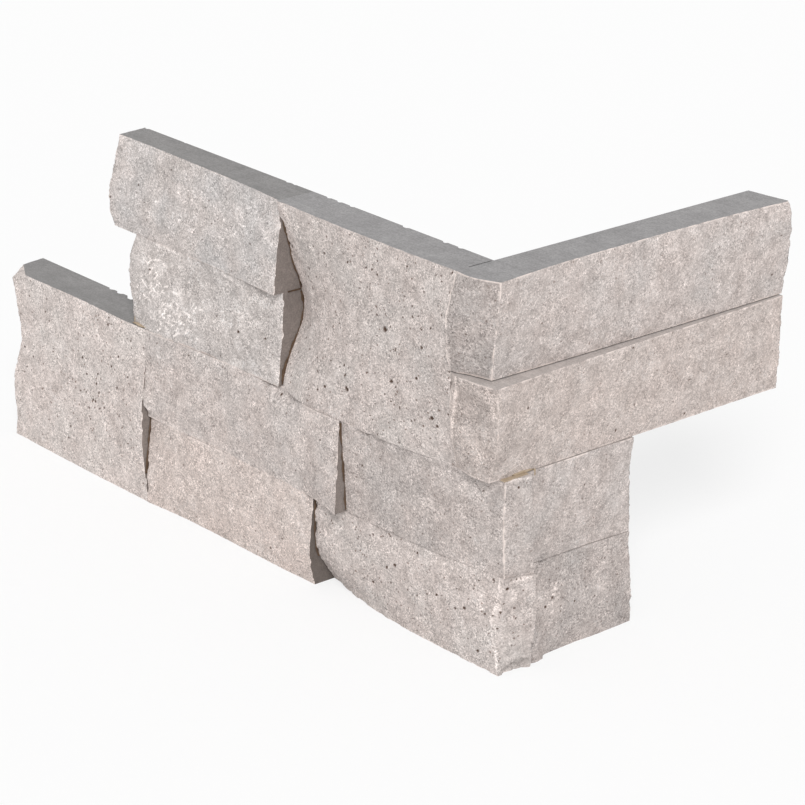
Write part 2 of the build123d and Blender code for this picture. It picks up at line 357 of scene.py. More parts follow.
def strip_mesh(label, grid, counts, rough, materials, values):
    """Closed mesh of a strip, with its finishes, its sharp arrises and its painted values."""
    rows, columns = grid.shape[:2]
    index = np.arange(rows * columns).reshape(rows, columns)
    after = np.roll(index, -1, axis=1)
    quads = np.stack([index[:-1], after[:-1], after[1:], index[1:]], axis=-1).reshape(-1, 4)
    caps = [index[0, ::-1].tolist(), index[-1].tolist()]
    mesh = bpy.data.meshes.new("skin_" + label)
    mesh.from_pydata((grid.reshape(-1, 3) * MM).tolist(), [], quads.tolist() + caps)
    split_slot, bed_slot, end_slot, back_slot = range(4)
    slots = [split_slot if side in rough else end_slot for side in range(4)]
    slots[WEST if NORTH in rough else NORTH] = back_slot
    slot_of_face = np.concatenate(
        [np.tile(np.repeat(slots, counts), rows - 1), [bed_slot] * len(caps)]
    )
    mesh.polygons.foreach_set("material_index", slot_of_face.astype(np.int32))
    mesh.polygons.foreach_set("use_smooth", slot_of_face != bed_slot)
    for name, value in values.items():
        layer = mesh.attributes.new(name, "FLOAT", "POINT")
        layer.data.foreach_set("value", value.ravel())
    ends = np.empty(len(mesh.edges) * 2, dtype=np.int32)
    mesh.edges.foreach_get("vertices", ends)
    row, column = np.divmod(ends.reshape(-1, 2), columns)
    starts = [sum(counts[:side]) for side in range(4)]
    on_bed = (row[:, 0] == row[:, 1]) & np.isin(row[:, 0], (0, rows - 1))
    on_corner = (column[:, 0] == column[:, 1]) & np.isin(column[:, 0], starts)
    sharp = mesh.attributes.new("sharp_edge", "BOOLEAN", "EDGE")
    sharp.data.foreach_set("value", on_bed | on_corner)
    for material in (*materials, sawn_back):
        mesh.materials.append(material)
    mesh.update()
    return mesh


def skin(label, rough, materials, seed, forms=(), pits=(), strokes=(), pit_count=0,
         flecks=(), fleck_strength=1.0, edges=None, nicks=(), closed_from=0.0, open_beds=(),
         bed_calm=0.8, contrast=1.0):
    """Fine skin of a strip, in place of its node.

    rough maps its split and broken sides to (scale of relief, tone), and materials are those of
    its split faces, its beds and its sawn ends. Places on a side are given along it and by level:
    forms are (side, along, level, half width, half height, outwards), pits (side, along, level,
    radius), strokes (side, line, half width, tone, outwards), flecks (side, along, level, half
    width, half height, count), and nicks, chips off the top back edge, (along, size). pit_count
    more pits are spread over its split faces. fleck_strength widens and whitens the flecks, edges
    changes plain_edges, and contrast changes that of the grain. Head joints close above
    closed_from, bed joints close unless they are in open_beds, and bed_calm says how straight
    the bed arrises run."""
    levels, counts, grid = sliced(label, rough, bool(nicks))
    rows, columns = grid.shape[:2]
    starts = [sum(counts[:side]) for side in range(4)]
    side_columns = [
        np.arange(start, start + count + 1) % columns for start, count in zip(starts, counts)
    ]
    close_joints(grid, levels, side_columns, rough, closed_from, open_beds)

    base = grid.copy()
    values = {
        name: np.full((rows, columns), plain)
        for name, plain in (("arris", 0.0), ("pit", 0.0), ("tone", 1.0), ("crisp", 1.0))
    }
    random = np.random.default_rng(seed)
    strengths = dict(plain_edges, **(edges or {}))
    front_count = sum(counts[side] for side in rough if side in (SOUTH, EAST))
    # Each side's tone is partly its own colour and partly painted shade, lower on sides that lie in
    # shade
    for side, (scale, side_tone_and_shade) in rough.items():
        cols = side_columns[side]
        places = base[:, cols].reshape(-1, 3)
        along = places[:, 0 if side in (SOUTH, NORTH) else 1]
        level = places[:, 2]

        small = crumb_height * fractal(places, crumb_size, 2, seed + side + 40, gain=0.8)
        small += flake_height * breaks(places, flake_size, seed + side + 20)
        out = scale * (
            small + swell_height * fractal(places, swell_size, 3, seed + side)
            + break_height * breaks(places, break_size, seed + side)
        )

        edge_keys = (*edge_names(side, rough), "top", "bottom")
        edge_list = to_edges(base, cols, levels, [strengths[key] for key in edge_keys])
        near = np.min([away for away, _ in edge_list], axis=0)
        near_bed = np.minimum(edge_list[2][0], edge_list[3][0])
        out *= 1 - bed_calm * np.exp(-near_bed / calm_reach)
        edge_noise = fractal(places, edge_noise_size, 2, seed + side + 80)
        worn = worn_depth * np.exp(-near / worn_reach)
        chips = fractal(places, chip_size, 2, seed + side + 90)
        chips = smooth((chips - chip_start) / chip_rise)
        chips *= 1 - bed_calm * np.exp(-near_bed / chip_calm_reach)
        out -= worn * np.clip(0.6 + 1.8 * edge_noise, 0.0, 2.0)
        out -= chip_depth * scale * chips * np.exp(-near / chip_reach)
        for place_side, u, z, half_wide, half_high, rise in forms:
            if place_side == side:
                apart = ((along - u) / half_wide) ** 2 + ((level - z) / half_high) ** 2
                out += rise * smooth(1.15 - apart + 0.25 * edge_noise)

        in_front = side in (SOUTH, EAST)
        share = counts[side] / max(1, front_count) if in_front else 0.0
        ragged = rim_swing * wave(places, rim_size, seed + 9)
        dark = np.zeros(len(places))
        marks = pit_marks(side, pits, int(pit_count * share), along, levels, random)
        for u, z, radius, strength in marks:
            apart = ((along - u) ** 2 + 1.2 * (level - z) ** 2) / radius ** 2
            inside = strength * smooth(1.4 * (1.15 - apart + ragged))
            halo = halo_strength * strength * np.exp(-apart / halo_reach)
            dark = np.maximum(dark, np.maximum(inside, halo))
            out -= pit_depth * radius * inside

        # Painted light and shade: the tone is lighter on raised crumbs and darker in the hollows of the
        # relief
        shade = side_tone_and_shade * (1 + crumb_painted_shading * np.clip(small, -crumb_limit, crumb_limit))
        shade *= 1 + drift * fractal(places, drift_size, 3, seed + side + 50)
        paler_and_painted_highlight = np.zeros(len(places))
        drawn = drawn_strokes(side, strokes, flecks, fleck_strength, random)
        # Strokes paint real pale flecks, scars and cracks, and in places painted shade and painted
        # highlights
        for line, half_wide, stroke_tone_and_painted_light, rise in drawn:
            away = from_line(along, level, line) / (half_wide * (1 + 0.5 * edge_noise))
            inside = smooth(1.4 - away)
            out += rise * inside
            paler_and_painted_highlight = np.maximum(paler_and_painted_highlight, (stroke_tone_and_painted_light - 1) * inside)
            shade *= 1 + min(0.0, stroke_tone_and_painted_light - 1) * inside
        shade *= 1 + paler_and_painted_highlight

        # Pale arrises: partly bruising of the stone, partly a painted highlight along the edges
        bruise_and_highlight = np.max([strong * np.exp(-away / bruise_and_highlight_reach) for away, strong in edge_list], axis=0)
        broken = edge_noise + 0.5 * wave(places, 9.0, seed + side + 70)
        bruise_and_highlight *= np.clip(0.6 + 1.4 * broken, 0.0, 1.3)
        shape = (rows, len(cols))
        grid[:, cols, :2] += np.array(outward[side]) * out.reshape(shape)[:, :, None]
        values["arris"][:, cols] = np.maximum(values["arris"][:, cols], bruise_and_highlight.reshape(shape))
        values["pit"][:, cols] = np.maximum(values["pit"][:, cols], dark.reshape(shape))
        values["tone"][:, cols] = shade.reshape(shape)
        values["crisp"][:, cols] = contrast * side_contrast[side]

    back = slice(starts[NORTH], starts[NORTH] + counts[NORTH])
    below_top = (levels[-1] - levels)[:, None]
    for u, size in nicks:
        apart = (base[:, back, 0] - u) ** 2 + below_top ** 2
        grid[:, back, 1] -= nick_depth * size * smooth(1.4 - apart / size ** 2)
    grid = np.clip(grid, np.array(cad_box[0]) / MM, np.array(cad_box[1]) / MM)

    piece = bpy.data.objects.new(
        "skin_" + label, strip_mesh(label, grid, counts, rough, materials, values)
    )
    scene.collection.objects.link(piece)
    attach(piece, "root")
    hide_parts(label)


def adhesive_piece(name, grid, finish):
    """A closed piece from its rings of points, which run anticlockwise and upwards."""
    index = np.arange(grid.shape[0] * grid.shape[1]).reshape(grid.shape[:2])
    after = np.roll(index, -1, axis=1)
    quads = np.stack([index[:-1], after[:-1], after[1:], index[1:]], axis=-1).reshape(-1, 4)
    mesh = bpy.data.meshes.new(name)
    caps = [index[0, ::-1].tolist(), index[-1].tolist()]
    mesh.from_pydata((grid.reshape(-1, 3) * MM).tolist(), [], quads.tolist() + caps)
    mesh.materials.append(finish)
    mesh.update()
    piece = bpy.data.objects.new(name, mesh)
    scene.collection.objects.link(piece)
    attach(piece, "root")
    return piece


def bead(name, centre, half, finish, seed):
    """A drop of adhesive, from its centre and half sizes."""
    lowest, highest, rings, points, unevenness = 3.0, 0.14, 11, 20, 0.3
    polar, turn = np.meshgrid(
        np.linspace(lowest, highest, rings), np.linspace(0.0, 2 * math.pi, points, endpoint=False),
        indexing="ij",
    )
    ways = np.stack([np.sin(polar) * np.cos(turn), np.sin(polar) * np.sin(turn), np.cos(polar)], -1)
    uneven = 1 + unevenness * wave(ways.reshape(-1, 3), 0.5, seed).reshape(polar.shape)
    piece = adhesive_piece(name, np.array(centre) + ways * np.array(half) * uneven[..., None], finish)
    piece.data.polygons.foreach_set("use_smooth", np.ones(len(piece.data.polygons), dtype=bool))


def seam(name, end_x, neighbour, low, high, width, finish, seed):
    """Adhesive that was squeezed out on a sawn end, along the front arris of the next strip."""
    points, triangles = welded(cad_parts[neighbour])
    levels = np.arange(low, high, cell)
    front = np.array([sides_of(outline(points, triangles, z))[SOUTH][0][1] for z in levels])
    places = np.stack([np.zeros(len(levels)), front, levels], axis=1)
    wide = width * np.clip(0.7 + 0.9 * fractal(places, 4.0, 3, seed), 0.1, 1.6)
    thick, behind = 0.2, 0.4
    rings = [(0.0, front - wide), (thick, front - 0.5 * wide), (thick, front + behind),
             (0.0, front + behind)]
    grid = np.stack([
        np.stack([np.full(len(levels), end_x + x), y, levels], axis=1) for x, y in rings
    ], axis=1)
    adhesive_piece(name, grid, finish)


# Materials

def add(tree, kind, inputs=None, **settings):
    """A shader node with its settings and its inputs, which are values or sockets."""
    made = tree.nodes.new("ShaderNode" + kind)
    for key, value in settings.items():
        setattr(made, key, value)
    for key, value in (inputs or {}).items():
        if isinstance(value, bpy.types.NodeSocket):
            tree.links.new(value, made.inputs[key])
        else:
            made.inputs[key].default_value = value
    return made


def grey(red, green, blue):
    """Linear colour from a display colour of 0 to 255."""
    linear = []
    for value in (red, green, blue):
        value /= 255
        linear.append(value / 12.92 if value <= 0.04045 else ((value + 0.055) / 1.055) ** 2.4)
    return (*linear, 1.0)


def blank(name, roughness, specular):
    """A new material with its node tree and its shader."""
    material = bpy.data.materials.new(name)
    material.use_nodes = True
    tree = material.node_tree
    shader = tree.nodes["Principled BSDF"]
    shader.inputs["Roughness"].default_value = roughness
    shader.inputs["Specular IOR Level"].default_value = specular
    return material, tree, shader


def mix(tree, factor, first, second, blend="MIX"):
    """Two colours mixed by a factor; each of the three is a value or a socket."""
    made = add(tree, "Mix", data_type="RGBA", blend_type=blend)
    for socket, value in zip((made.inputs[0], made.inputs[6], made.inputs[7]), (factor, first, second)):
        if isinstance(value, bpy.types.NodeSocket):
            tree.links.new(value, socket)
        else:
            socket.default_value = value
    return made.outputs[2]


def ramp(tree, factor, stops):
    """A colour ramp with its stops, as (place, level or colour)."""
    made = add(tree, "ValToRGB", {"Fac": factor})
    parts = made.color_ramp.elements
    while len(parts) < len(stops):
        parts.new(0.5)
    for part, (at, value) in zip(parts, stops):
        part.position = at
        part.color = value if isinstance(value, tuple) else (value, value, value, 1.0)
    return made.outputs["Color"]


def grain(tree, place, size, detail=2.0, distortion=0.0):
    """Noise whose waves are about as long as the size, in millimetres."""
    return add(tree, "TexNoise", {
        "Vector": place, "Scale": 1 / (size * MM), "Detail": detail, "Distortion": distortion,
    }).outputs["Fac"]


def split_stone(name, pale, deep, tint, tint_share=0.5, pale_grains=0.5, dark_grains=0.5,
                pinholes=0.5, crystals=0.3):
    """Split face: hard crystalline grain, mottling, pale worm-like grains and brown pinholes."""
    material, tree, shader = blank(name, 0.85, 0.25)
    place = add(tree, "TexCoord").outputs["Object"]

    # Mottling, and a broad wash of tint
    mottle = grain(tree, place, 6.0, 3.0)
    colour = mix(tree, ramp(tree, mottle, [(0.35, 0.0), (0.65, 1.0)]), deep, pale)
    wash = ramp(tree, grain(tree, place, 21.0), [(0.42, 0.0), (0.66, tint_share)])
    colour = mix(tree, wash, colour, tint)

    # Grain, crisper in patches
    fine = grain(tree, place, 0.5, 2.0, 1.2)
    middle = grain(tree, place, 1.2, 2.0, 0.8)
    cells = add(tree, "TexVoronoi", {"Vector": place, "Scale": 1 / (0.6 * MM)}).outputs["Color"]
    level = mix(tree, 1.0, ramp(tree, fine, [(0.27, 0.34), (0.73, 1.66)]),
                ramp(tree, cells, [(0.1, 0.68), (0.9, 1.32)]), "MULTIPLY")
    crisp = ramp(tree, grain(tree, place, 5.0, 3.0), [(0.38, 0.55), (0.62, 1.0)])
    contrast = add(tree, "Attribute", attribute_name="crisp").outputs["Fac"]
    crisp = mix(tree, 1.0, crisp, contrast, "MULTIPLY")
    level = mix(tree, crisp, (1.0, 1.0, 1.0, 1.0), level)
    colour = mix(tree, 1.0, colour, level, "MULTIPLY")
    for noise, swing in ((middle, 0.12), (grain(tree, place, 3.4, 3.0), 0.07)):
        level = ramp(tree, noise, [(0.27, 1 - swing), (0.73, 1 + swing)])
        colour = mix(tree, 1.0, colour, level, "MULTIPLY")

    # Pale worm-like grains, clustered crystals and dark specks
    worms = ramp(tree, grain(tree, place, 0.8, 1.0, 2.4), [(0.64, 0.0), (0.7, pale_grains)])
    colour = mix(tree, worms, colour, grey(238, 232, 228))
    cluster = ramp(tree, grain(tree, place, 12.0), [(0.52, 0.0), (0.62, crystals)])
    veins = ramp(tree, grain(tree, place, 1.4, 2.0, 1.8), [(0.57, 0.0), (0.64, 1.0)])
    colour = mix(tree, mix(tree, 1.0, veins, cluster, "MULTIPLY"), colour, grey(240, 236, 234))
    specks = ramp(tree, grain(tree, place, 0.7, 1.0, 1.2), [(0.29, dark_grains), (0.35, 0.0)])
    colour = mix(tree, specks, colour, grey(142, 132, 127))

    # Brown pinholes, in half of the cells of a bent lattice
    bend, bends_per_metre, cells_per_metre = 0.0012, 1100.0, 330.0
    bent = add(tree, "TexNoise", {"Vector": place, "Scale": bends_per_metre, "Detail": 1.0})
    bent = mix(tree, bend, place, bent.outputs["Color"], "ADD")
    spot = add(tree, "TexVoronoi", {"Vector": bent, "Scale": cells_per_metre}, feature="F1")
    chosen = ramp(tree, spot.outputs["Color"], [(0.5, 0.0), (0.55, 1.0)])
    hole = ramp(tree, spot.outputs["Distance"], [(0.09, pinholes), (0.17, 0.0)])
    hole = mix(tree, 1.0, hole, chosen, "MULTIPLY")
    colour = mix(tree, hole, colour, grey(108, 86, 74))

    # What the skin carries: tone, partly painted light and shade, pale arrises, partly bruising and
    # partly a painted highlight, and pits
    tone = add(tree, "Attribute", attribute_name="tone").outputs["Fac"]
    colour = mix(tree, 1.0, colour, tone, "MULTIPLY")
    edge = add(tree, "Attribute", attribute_name="arris").outputs["Fac"]
    colour = mix(tree, ramp(tree, edge, [(0.15, 0.0), (0.9, 0.75)]), colour, grey(228, 215, 208))
    pit = add(tree, "Attribute", attribute_name="pit").outputs["Fac"]
    colour = mix(tree, ramp(tree, pit, [(0.1, 0.0), (0.75, 0.95)]), colour, grey(74, 54, 41))
    tree.links.new(colour, shader.inputs["Base Color"])

    rough = add(tree, "Math", {0: fine, 1: middle}, operation="ADD")
    bump = add(tree, "Bump", {"Height": rough.outputs[0], "Distance": 0.00013, "Strength": 0.9})
    tree.links.new(bump.outputs["Normal"], shader.inputs["Normal"])
    return material


def sawn_stone(name, tone, streak_turn):
    """Sawn face: smooth mid-grey with faint mottling and pale saw streaks."""
    waves_per_metre = (40.0, 900.0, 400.0)
    material, tree, shader = blank(name, 0.62, 0.35)
    place = add(tree, "TexCoord").outputs["Object"]
    turned = add(tree, "Mapping", {
        "Vector": place, "Rotation": (0.0, 0.0, math.radians(streak_turn)),
        "Scale": waves_per_metre,
    })
    streaks = add(tree, "TexNoise", {"Vector": turned.outputs["Vector"], "Scale": 1.0, "Detail": 3.0})
    streaks = streaks.outputs["Fac"]
    colour = tone
    for noise, low, high in (
        (grain(tree, place, 9.0, 4.0), 0.90, 1.08), (streaks, 0.95, 1.07),
        (grain(tree, place, 2.2, 3.0), 0.93, 1.07), (grain(tree, place, 0.7), 0.82, 1.16),
    ):
        level = ramp(tree, noise, [(0.3, low), (0.7, high)])
        colour = mix(tree, 1.0, colour, level, "MULTIPLY")
    tree.links.new(colour, shader.inputs["Base Color"])
    bump = add(tree, "Bump", {"Height": streaks, "Distance": 0.00004, "Strength": 0.5})
    tree.links.new(bump.outputs["Normal"], shader.inputs["Normal"])
    return material


def adhesive_finish(name, tan_from):
    """Cured adhesive: dark brown in the joints, tan where it has squeezed out, beyond tan_from."""
    material, tree, shader = blank(name, 0.5, 0.4)
    place = add(tree, "TexCoord").outputs["Object"]
    cloud = grain(tree, place, 2.5, 3.0)
    dark = mix(tree, cloud, grey(58, 44, 34), grey(104, 82, 62))
    tan = mix(tree, cloud, grey(136, 118, 97), grey(188, 171, 149))
    across = add(tree, "SeparateXYZ", {"Vector": place}).outputs["X"]
    on_ledge = add(tree, "MapRange", {
        "Value": across, "From Min": tan_from * MM, "From Max": (tan_from + 1) * MM,
    }).outputs["Result"]
    tree.links.new(mix(tree, on_ledge, dark, tan), shader.inputs["Base Color"])
    bump = add(tree, "Bump", {"Height": cloud, "Distance": 0.0002, "Strength": 0.6})
    tree.links.new(bump.outputs["Normal"], shader.inputs["Normal"])
    return material


top_bed = sawn_stone("top_bed", grey(143, 141, 141), 28)
low_bed = sawn_stone("low_bed", grey(130, 128, 127), 28)
ledge = sawn_stone("ledge", grey(176, 168, 164), 28)
sawn_end = sawn_stone("sawn_end", grey(128, 119, 114), 90)
# A darker copy of the sawn end as painted shade, for the end that lies low in shadow near the floor
shaded_sawn_end = sawn_stone("shaded_sawn_end", grey(102, 94, 89), 90)
sawn_back = sawn_stone("sawn_back", grey(146, 142, 140), 0)
split_grey = split_stone("split_grey", grey(206, 195, 190), grey(184, 173, 168), grey(190, 184, 181))
split_cool = split_stone(
    "split_cool", grey(208, 200, 196), grey(184, 176, 172), grey(191, 185, 182), pale_grains=0.8,
    pinholes=0.2, crystals=0.8,
)
split_pitted = split_stone(
    "split_pitted", grey(211, 200, 195), grey(190, 179, 174), grey(200, 194, 190), pinholes=0.85,
)
split_warm = split_stone(
    "split_warm", grey(212, 200, 194), grey(192, 180, 174), grey(207, 192, 185), tint_share=0.5,
)
split_blue = split_stone(
    "split_blue", grey(206, 197, 193), grey(184, 176, 172), grey(184, 183, 183), pale_grains=0.7,
    pinholes=0.3, crystals=0.5,
)
glue = adhesive_finish("adhesive_finish", 18.5)
pale_glue = adhesive_finish("pale_adhesive", -300.0)
grey_stone = [split_grey, ledge, sawn_end]
cool_stone = [split_cool, ledge, sawn_end]
pitted_stone = [split_pitted, ledge, sawn_end]
warm_stone = [split_warm, ledge, sawn_end]

# Strips of the long leg

skin(
    "long_tall_end", {SOUTH: (1.0, 0.99), WEST: (2.0, 0.95)},
    [split_pitted, low_bed, sawn_end], 11, pit_count=150, closed_from=45.0, edges={"far": 0.6},
    nicks=[
        (-233, 1.2), (-227, 1.6), (-219, 2.4), (-213, 1.4), (-207.5, 2.3), (-200, 2.7),
        (-192, 2.2),
    ],
    pits=[
        (SOUTH, -242, 74.5, 0.37), (SOUTH, -207.5, 72, 0.37), (SOUTH, -200, 58.5, 0.37),
        (SOUTH, -217.5, 47, 0.44), (SOUTH, -204, 45, 0.44), (SOUTH, -216, 32, 0.44),
        (SOUTH, -223.5, 25, 0.44), (SOUTH, -273, 31, 0.44), (SOUTH, -228, 51.5, 0.6),
        (SOUTH, -203, 59, 0.6), (SOUTH, -218.5, 42.5, 0.55), (SOUTH, -230, 36, 0.55),
        (SOUTH, -219, 34.5, 0.55), (SOUTH, -224, 30, 0.55), (SOUTH, -213, 33.5, 0.5),
        (SOUTH, -202.5, 33, 0.5), (SOUTH, -225, 45, 0.5), (SOUTH, -255.5, 63.5, 0.45),
        (SOUTH, -210, 71, 0.5),
    ],
)
skin(
    "long_second_middle", {SOUTH: (1.0, 0.95)}, grey_stone, 12, pit_count=14,
    closed_from=stack_top,
    forms=[
        (SOUTH, -98, 77, 16, 6, -3.1), (SOUTH, -112, 77, 7, 4, -0.8), (SOUTH, -184, 46.5, 4, 6, 1.7),
    ],
    edges={"top": 0.7, "far": 0.7, "bottom": 0.8},
)
# Its south tone is lowered as painted shade, under the overhang of the tall middle strip
skin(
    "long_second_through", {SOUTH: (1.0, 0.86), EAST: (1.0, 0.82)}, grey_stone, 13,
    pit_count=14, pits=[(SOUTH, 7.5, 50, 0.52)],
    edges={"bottom": 0.1, "far": 0.0, "corner": 1.2},
    forms=[(SOUTH, 9, 76, 11, 5, 1.6), (SOUTH, -10, 77, 28, 4, 0.6)],
    strokes=[
        (EAST, [(-12, 75.4), (3, 75.4)], 0.4, 1.3, 0.1),
        (SOUTH, [(-38, 75.5), (-34, 71), (-33.5, 64)], 0.5, 0.86, 0.0),
        (SOUTH, [(-25, 54), (-24.5, 44.5)], 1.2, 1.08, 0.1),
        # Painted shadow on the face under the overhanging nose of the strip above, at the corner
        (SOUTH, [(18.5, 72), (18, 62)], 2.5, 0.88, -0.15),
        (SOUTH, [(-2, 39), (18, 39)], 0.5, 1.1, 0.1),
    ],
)
skin(
    "long_base_middle", {SOUTH: (1.0, 0.945)}, [split_warm, ledge, shaded_sawn_end], 14,
    pit_count=20, closed_from=stack_top, edges={"far": 0.6, "top": 0.8},
)
skin(
    "long_base_through", {SOUTH: (1.3, 0.9), EAST: (1.5, 0.8)}, pitted_stone, 15,
    pit_count=80, edges={"corner": 0.3, "top": 0.3, "bottom": 0.5}, bed_calm=0.45,
    forms=[(EAST, -7, 0, 7, 5, -1.6), (SOUTH, -74, 8, 8, 10, -0.8)],
    flecks=[(SOUTH, -66, 28, 8, 6, 6), (SOUTH, -45, 25, 16, 8, 8), (SOUTH, 12, 24, 8, 8, 6)],
    pits=[
        (SOUTH, -19.5, 34.5, 0.67), (SOUTH, -31.5, 25.5, 0.67), (SOUTH, -36, 23, 0.52),
        (SOUTH, -8.5, 21.5, 0.52), (SOUTH, 2, 27.5, 0.44), (SOUTH, 9.5, 30, 0.44),
        (SOUTH, 1.5, 19.5, 0.59), (SOUTH, 6, 21, 0.52), (SOUTH, 15.5, 21.5, 0.52),
        (SOUTH, 18.5, 36, 0.52), (SOUTH, 13.5, 6, 0.52), (SOUTH, -69, 31, 0.44),
        (SOUTH, -55, 32, 0.44), (SOUTH, -46, 33, 0.44),
        (EAST, -11, 34, 0.67), (EAST, -9.8, 37.5, 0.44), (EAST, -7.5, 37.7, 0.44),
        (EAST, -5.7, 37.3, 0.37), (SOUTH, 22.3, 24.3, 0.44), (EAST, -7.8, 25.8, 0.37),
        (EAST, -12.9, 17.7, 0.44), (SOUTH, 19.3, 22, 0.37),
    ],
    strokes=[
        (SOUTH, [(-4, 10.8), (1, 10.5), (5.5, 13.5)], 0.4, 0.8, -0.2),
        # Painted light: a paler band beside the corner, where the broken end turns towards the light
        (SOUTH, [(24, 34), (22.5, 27), (21, 20), (22, 12)], 1.8, 1.1, 0.0),
        (SOUTH, [(22.4, 40), (21.6, 37.6), (21.2, 30.6), (19.8, 25.3), (18.6, 20.2)], 0.6, 1.38, 0.3),
        (SOUTH, [(18.6, 20.2), (19.7, 13.3), (22, 8.6), (24.5, 0.5)], 0.6, 1.3, 0.25),
        (EAST, [(-9, 33), (-7.5, 27), (-8, 21)], 1.2, 1.12, 0.2),
        (EAST, [(-10, 36.4), (-6, 37.2), (-1, 37.4)], 0.5, 1.3, 0.1),
        # Painted highlight on the rim of the chip at the foot of the end, and painted shade on the chin
        # below it, which faces down
        (EAST, [(-12, 6.6), (-6, 5.4), (-1, 5.2)], 0.5, 1.12, 0.0),
        (EAST, [(-11, 3), (-2, 2.6)], 1.9, 0.84, 0.0),
        # Painted shade low on the face near the corner, where the face turns inwards
        (SOUTH, [(12, 4), (20, 4)], 3.0, 0.9, 0.0),
    ],
)
skin(
    "long_third_end", {SOUTH: (1.2, 0.93), WEST: (2.0, 0.95)}, cool_stone, 16,
    pit_count=6, closed_from=stack_top, edges={"far": 0.8, "top": 0.6, "bottom": 0.8},
    flecks=[
        (SOUTH, -182, 92, 10, 9, 36), (SOUTH, -170, 84, 12, 5, 28), (SOUTH, -160, 93, 14, 9, 16),
        (SOUTH, -178, 107, 12, 6, 12),
    ], fleck_strength=1.2,
    pits=[(SOUTH, -126.5, 92, 0.67), (SOUTH, -110.5, 93.5, 0.44), (SOUTH, -140, 94.5, 0.44)],
    strokes=[
        (SOUTH, [(-176, 86), (-174, 90.5), (-169, 91)], 0.7, 1.35, 0.15),
        (SOUTH, [(-165, 97), (-162, 95)], 0.6, 1.35, 0.1),
        (SOUTH, [(-163.5, 85.5), (-160, 85)], 0.6, 1.35, 0.1),
        (SOUTH, [(-185, 85.5), (-180, 84.5), (-178, 81.5)], 0.6, 1.3, 0.1),
        (SOUTH, [(-152.5, 81.5), (-148.5, 80.5)], 0.6, 1.3, 0.1),
        (SOUTH, [(-173, 104), (-170, 100)], 0.6, 1.25, 0.1),
        (SOUTH, [(-180, 113.5), (-161, 113.3)], 0.5, 1.3, 0.1),
        (SOUTH, [(-137, 113), (-130, 112.6)], 0.8, 1.4, 0.15),
        (SOUTH, [(-125.5, 90), (-121, 87.5), (-118, 84), (-116, 82)], 0.8, 0.85, -0.2),
    ],
)
skin(
    "long_top_end", {SOUTH: (1.2, 0.96), WEST: (2.0, 0.93)},
    [split_blue, low_bed, sawn_end], 17, pit_count=20, closed_from=147.5,
    edges={"far": 0.8, "bottom": 0.5}, flecks=[(SOUTH, -150, 135, 40, 12, 12)],
    nicks=[(-207, 0.8), (-117, 0.8), (-113, 0.6), (-182, 0.5)],
    pits=[
        (SOUTH, -206.5, 139.5, 0.37), (SOUTH, -191.5, 135.5, 0.37), (SOUTH, -157, 145, 0.37),
        (SOUTH, -143, 132, 0.37),
    ],
)
skin(
    "long_tall_middle", {SOUTH: (1.2, 0.9)},
    [split_pitted, top_bed, sawn_end], 18, pit_count=210, flecks=[(SOUTH, -90, 144, 7, 6, 12)],
    strokes=[
        # Painted highlight: the left rim is made paler where the face curves back towards the sawn ends
        # and turns away from the light
        (SOUTH, [(-98.5, 147), (-98.5, 80)], 4.5, 1.17, 0.0),
        (SOUTH, [(-101, 146), (-101, 80)], 1.6, 1.3, 0.0),
    ],
    edges={"far": 0.0, "left": 0.9},
    nicks=[(-92, 0.9), (-86, 1.0), (-79, 0.8), (-48, 1.2), (-26, 1.2), (-18, 0.9)],
    forms=[
        (SOUTH, -101, 149, 5, 5, 0.9), (SOUTH, 0, 117, 5, 10, -0.9),
        (SOUTH, -53, 76, 3, 2, -0.8), (SOUTH, -47, 78, 2.5, 2, 0.5), (SOUTH, -42, 76, 2.5, 2, -0.8),
        (SOUTH, -36, 78, 2.5, 2, 0.4), (SOUTH, -16, 76, 20, 4, -0.4),
    ],
    pits=[
        (SOUTH, -99.5, 133.5, 0.6), (SOUTH, -37, 119.5, 1.1), (SOUTH, -58, 89.5, 1.1),
        (SOUTH, -59.5, 94.5, 0.6), (SOUTH, -42, 139.5, 0.6), (SOUTH, -4, 135, 0.7),
        (SOUTH, -30.5, 114, 0.6), (SOUTH, -15.5, 119, 0.6), (SOUTH, -18.5, 106, 0.6),
        (SOUTH, -32.5, 100.5, 0.7), (SOUTH, -27.5, 91.5, 0.6), (SOUTH, -10.5, 92.5, 0.8),
        (SOUTH, -75, 84, 0.6), (SOUTH, -71, 86.5, 0.6), (SOUTH, -59, 139.5, 0.5),
        (SOUTH, -8, 90, 0.6),
    ],
)

# Strips of the short leg

